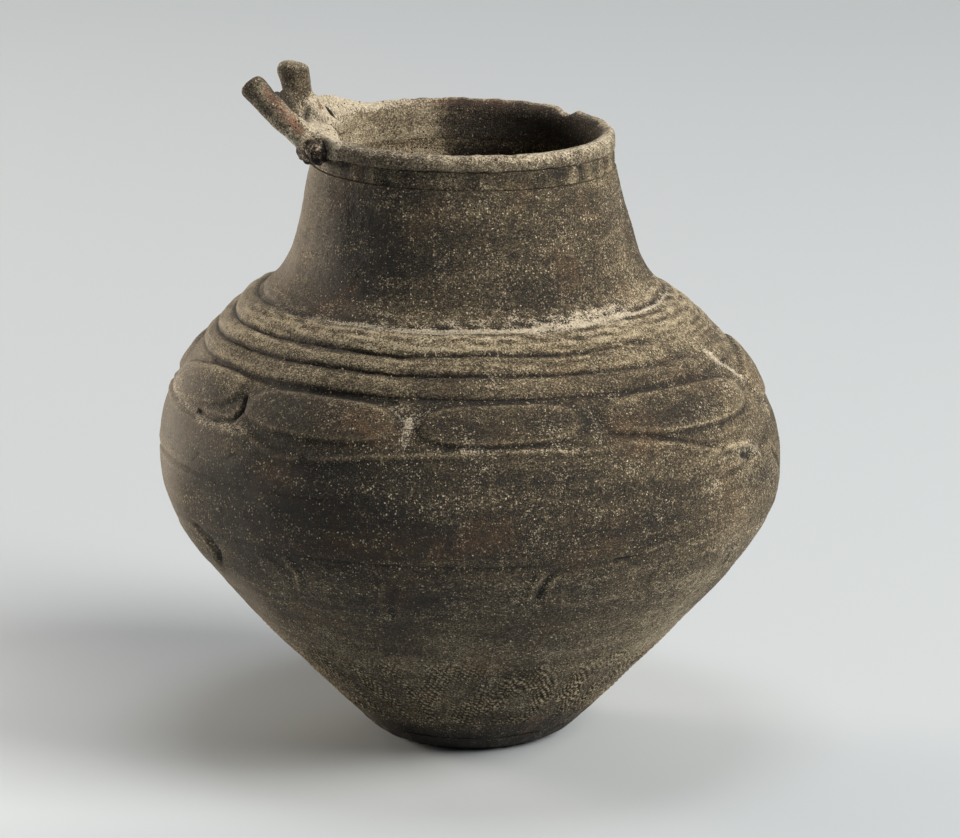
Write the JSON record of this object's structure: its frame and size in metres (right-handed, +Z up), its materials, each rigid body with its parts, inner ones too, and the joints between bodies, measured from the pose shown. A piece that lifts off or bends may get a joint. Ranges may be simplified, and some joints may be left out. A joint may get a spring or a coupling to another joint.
{
  "type": "jar",
  "caption": "Hand-built round-bellied clay jar on a small flat foot, with a ribbed and panelled shoulder, flared lip and forked rim lug.",
  "frame": {"origin": "centre of the flat foot that the jar stands on", "axes": "+Z up out of the mouth, -Y towards the front of the jar, the rim lug on the -X side"},
  "size_m": [0.2798, 0.2798, 0.3043],
  "materials": {
    "wall_clay": "burnished, worn, gritty",
    "neck_clay": "wiped, gritty",
    "foot_clay": "sooty, rough",
    "rim_clay": "pale crusted, rough",
    "broken_clay": "rough fracture"
  },
  "bodies": {
    "root": {"foot_disc": "foot_clay", "foot_course": "wall_clay", "lower_wall_course": "wall_clay", "upper_wall_course": "wall_clay", "belly_course": "wall_clay", "belly_top_course": "wall_clay", "panel_course": "wall_clay", "ribbed_course": "wall_clay", "neck_course": "neck_clay", "neck_rim_course": "neck_clay", "collar_strip": "neck_clay", "lip_coil": "rim_clay", "lug_front_prong": "rim_clay", "lug_back_prong": "rim_clay", "lug_web": "rim_clay", "lug_broken_stub": "broken_clay"}
  },
  "joints": []
}
